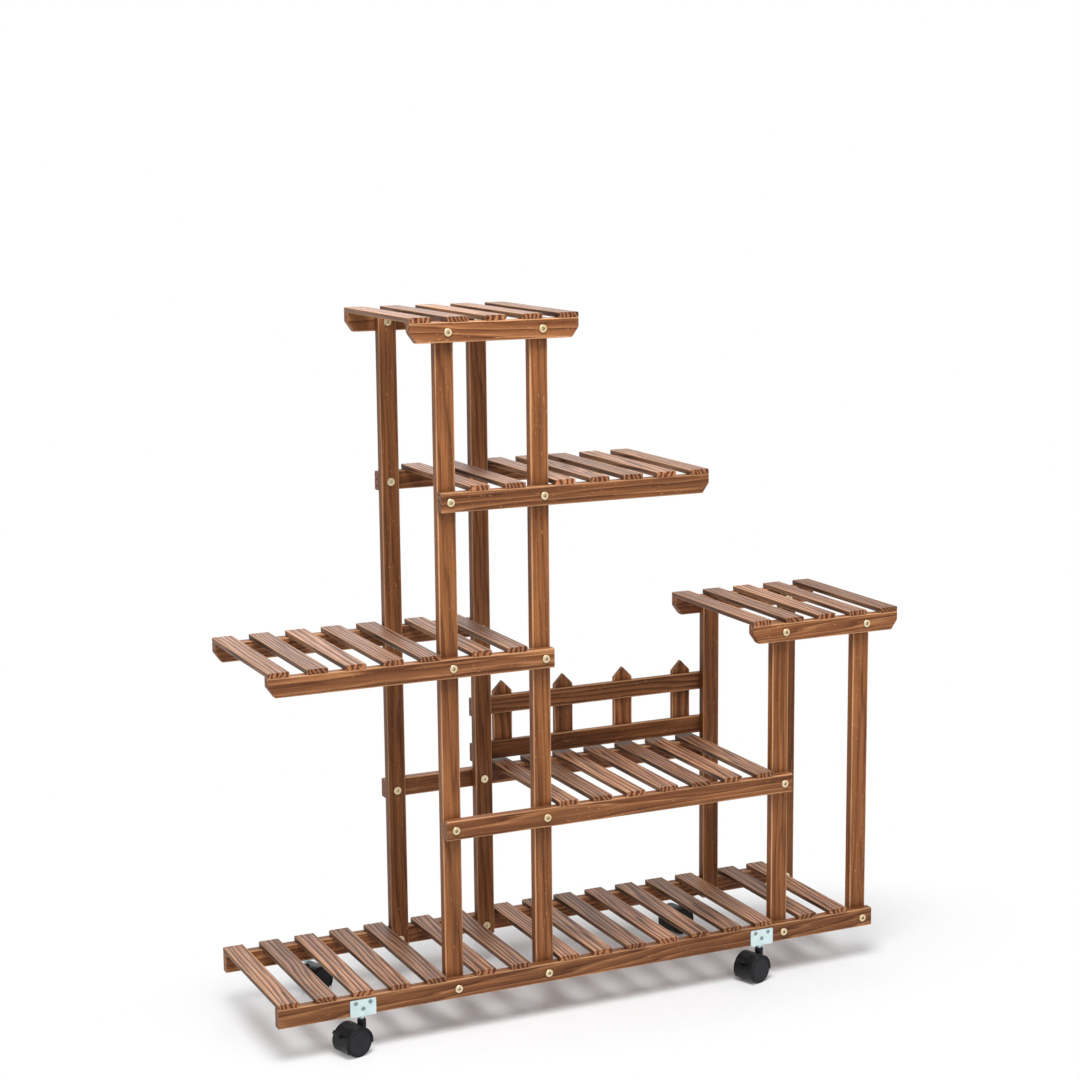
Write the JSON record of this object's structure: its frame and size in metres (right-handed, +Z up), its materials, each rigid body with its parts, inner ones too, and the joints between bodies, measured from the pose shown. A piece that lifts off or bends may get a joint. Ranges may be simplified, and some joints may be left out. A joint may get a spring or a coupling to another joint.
{
  "type": "rolling plant stand",
  "caption": "Slatted wooden plant stand with stepped shelves on paired posts, a low picket fence behind the middle shelf, and swivel casters with brakes.",
  "frame": {"origin": "on the floor under the middle of the stand's overall box", "axes": "+X along the front from the tall tower's side to the short tower's, +Y from front to back, +Z up"},
  "size_m": [0.9502, 0.2896, 0.9744],
  "materials": {
    "post_timber": "brown stained softwood, satin",
    "rail_timber": "brown stained softwood, satin",
    "slat_timber": "brown stained softwood, satin",
    "fence_timber": "brown stained softwood, satin",
    "yellow_zinc": "yellow plated steel, bright",
    "bright_zinc": "blue-white zinc plate",
    "nail_steel": "dull steel",
    "axle_steel": "plain steel",
    "black_plastic": "black moulded plastic",
    "wheel_plastic": "black moulded plastic"
  },
  "bodies": {
    "frame": {"front_post_1": "post_timber", "front_post_2": "post_timber", "front_post_3": "post_timber", "front_post_4": "post_timber", "base_front_rail": "rail_timber", "middle_front_rail": "rail_timber", "left_front_rail": "rail_timber", "right_front_rail": "rail_timber", "upper_front_rail": "rail_timber", "top_front_rail": "rail_timber", "back_post_1": "post_timber", "back_post_2": "post_timber", "back_post_3": "post_timber", "back_post_4": "post_timber", "base_back_rail": "rail_timber", "middle_back_rail": "rail_timber", "left_back_rail": "rail_timber", "right_back_rail": "rail_timber", "upper_back_rail": "rail_timber", "top_back_rail": "rail_timber", "base_slats": "slat_timber", "middle_slats": "slat_timber", "left_slats": "slat_timber", "right_slats": "slat_timber", "upper_slats": "slat_timber", "top_slats": "slat_timber", "fence_lower_rail": "fence_timber", "fence_upper_rail": "fence_timber", "fence_pickets": "fence_timber", "connector_bolts": "yellow_zinc", "barrel_nuts": "yellow_zinc", "slat_nails": "nail_steel", "fence_nails": "nail_steel", "bracket_screws": "bright_zinc", "caster_stems": "bright_zinc", "front_left_bracket": "bright_zinc", "front_right_bracket": "bright_zinc", "back_left_bracket": "bright_zinc", "back_right_bracket": "bright_zinc"},
    "front_left_caster": {"front_left_hood": "black_plastic", "front_left_axle": "axle_steel"},
    "front_left_wheel_a": {"front_left_wheel_a": "wheel_plastic"},
    "front_left_wheel_b": {"front_left_wheel_b": "wheel_plastic"},
    "front_left_brake": {"front_left_brake_lever": "black_plastic"},
    "front_right_caster": {"front_right_hood": "black_plastic", "front_right_axle": "axle_steel"},
    "front_right_wheel_a": {"front_right_wheel_a": "wheel_plastic"},
    "front_right_wheel_b": {"front_right_wheel_b": "wheel_plastic"},
    "front_right_brake": {"front_right_brake_lever": "black_plastic"},
    "back_left_caster": {"back_left_hood": "black_plastic", "back_left_axle": "axle_steel"},
    "back_left_wheel_a": {"back_left_wheel_a": "wheel_plastic"},
    "back_left_wheel_b": {"back_left_wheel_b": "wheel_plastic"},
    "back_left_brake": {"back_left_brake_lever": "black_plastic"},
    "back_right_caster": {"back_right_hood": "black_plastic", "back_right_axle": "axle_steel"},
    "back_right_wheel_a": {"back_right_wheel_a": "wheel_plastic"},
    "back_right_wheel_b": {"back_right_wheel_b": "wheel_plastic"},
    "back_right_brake": {"back_right_brake_lever": "black_plastic"}
  },
  "joints": [
    {"name": "front_left_swivel", "type": "hinge", "parent": "frame", "child": "front_left_caster", "pos_m": [-0.35813, -0.117, 0.0456], "axis": [0, 0, 1], "continuous": true},
    {"name": "front_left_wheel_a_spin", "type": "hinge", "parent": "front_left_caster", "child": "front_left_wheel_a", "pos_m": [-0.37258, -0.12101, 0.0195], "axis": [-0.2672, 0.9636, 0], "continuous": true},
    {"name": "front_left_wheel_b_spin", "type": "hinge", "parent": "front_left_caster", "child": "front_left_wheel_b", "pos_m": [-0.37258, -0.12101, 0.0195], "axis": [-0.2672, 0.9636, 0], "continuous": true},
    {"name": "front_left_brake_press", "type": "hinge", "parent": "front_left_caster", "child": "front_left_brake", "pos_m": [-0.3851, -0.12448, 0.027], "axis": [0.2672, -0.9636, 0], "range_deg": [0, 14]},
    {"name": "front_right_swivel", "type": "hinge", "parent": "frame", "child": "front_right_caster", "pos_m": [0.25188, -0.117, 0.0456], "axis": [0, 0, 1], "continuous": true},
    {"name": "front_right_wheel_a_spin", "type": "hinge", "parent": "front_right_caster", "child": "front_right_wheel_a", "pos_m": [0.23774, -0.12201, 0.0195], "axis": [-0.3338, 0.9426, 0], "continuous": true},
    {"name": "front_right_wheel_b_spin", "type": "hinge", "parent": "front_right_caster", "child": "front_right_wheel_b", "pos_m": [0.23774, -0.12201, 0.0195], "axis": [-0.3338, 0.9426, 0], "continuous": true},
    {"name": "front_right_brake_press", "type": "hinge", "parent": "front_right_caster", "child": "front_right_brake", "pos_m": [0.22549, -0.12634, 0.027], "axis": [0.3338, -0.9426, 0], "range_deg": [0, 14]},
    {"name": "back_left_swivel", "type": "hinge", "parent": "frame", "child": "back_left_caster", "pos_m": [-0.35813, 0.117, 0.0456], "axis": [0, 0, 1], "continuous": true},
    {"name": "back_left_wheel_a_spin", "type": "hinge", "parent": "back_left_caster", "child": "back_left_wheel_a", "pos_m": [-0.34398, 0.12201, 0.0195], "axis": [0.3338, -0.9426, 0], "continuous": true},
    {"name": "back_left_wheel_b_spin", "type": "hinge", "parent": "back_left_caster", "child": "back_left_wheel_b", "pos_m": [-0.34398, 0.12201, 0.0195], "axis": [0.3338, -0.9426, 0], "continuous": true},
    {"name": "back_left_brake_press", "type": "hinge", "parent": "back_left_caster", "child": "back_left_brake", "pos_m": [-0.33174, 0.12634, 0.027], "axis": [-0.3338, 0.9426, 0], "range_deg": [0, 14]},
    {"name": "back_right_swivel", "type": "hinge", "parent": "frame", "child": "back_right_caster", "pos_m": [0.25188, 0.117, 0.0456], "axis": [0, 0, 1], "continuous": true},
    {"name": "back_right_wheel_a_spin", "type": "hinge", "parent": "back_right_caster", "child": "back_right_wheel_a", "pos_m": [0.23742, 0.11299, 0.0195], "axis": [-0.2672, 0.9636, 0], "continuous": true},
    {"name": "back_right_wheel_b_spin", "type": "hinge", "parent": "back_right_caster", "child": "back_right_wheel_b", "pos_m": [0.23742, 0.11299, 0.0195], "axis": [-0.2672, 0.9636, 0], "continuous": true},
    {"name": "back_right_brake_press", "type": "hinge", "parent": "back_right_caster", "child": "back_right_brake", "pos_m": [0.2249, 0.10952, 0.027], "axis": [0.2672, -0.9636, 0], "range_deg": [0, 14]}
  ]
}
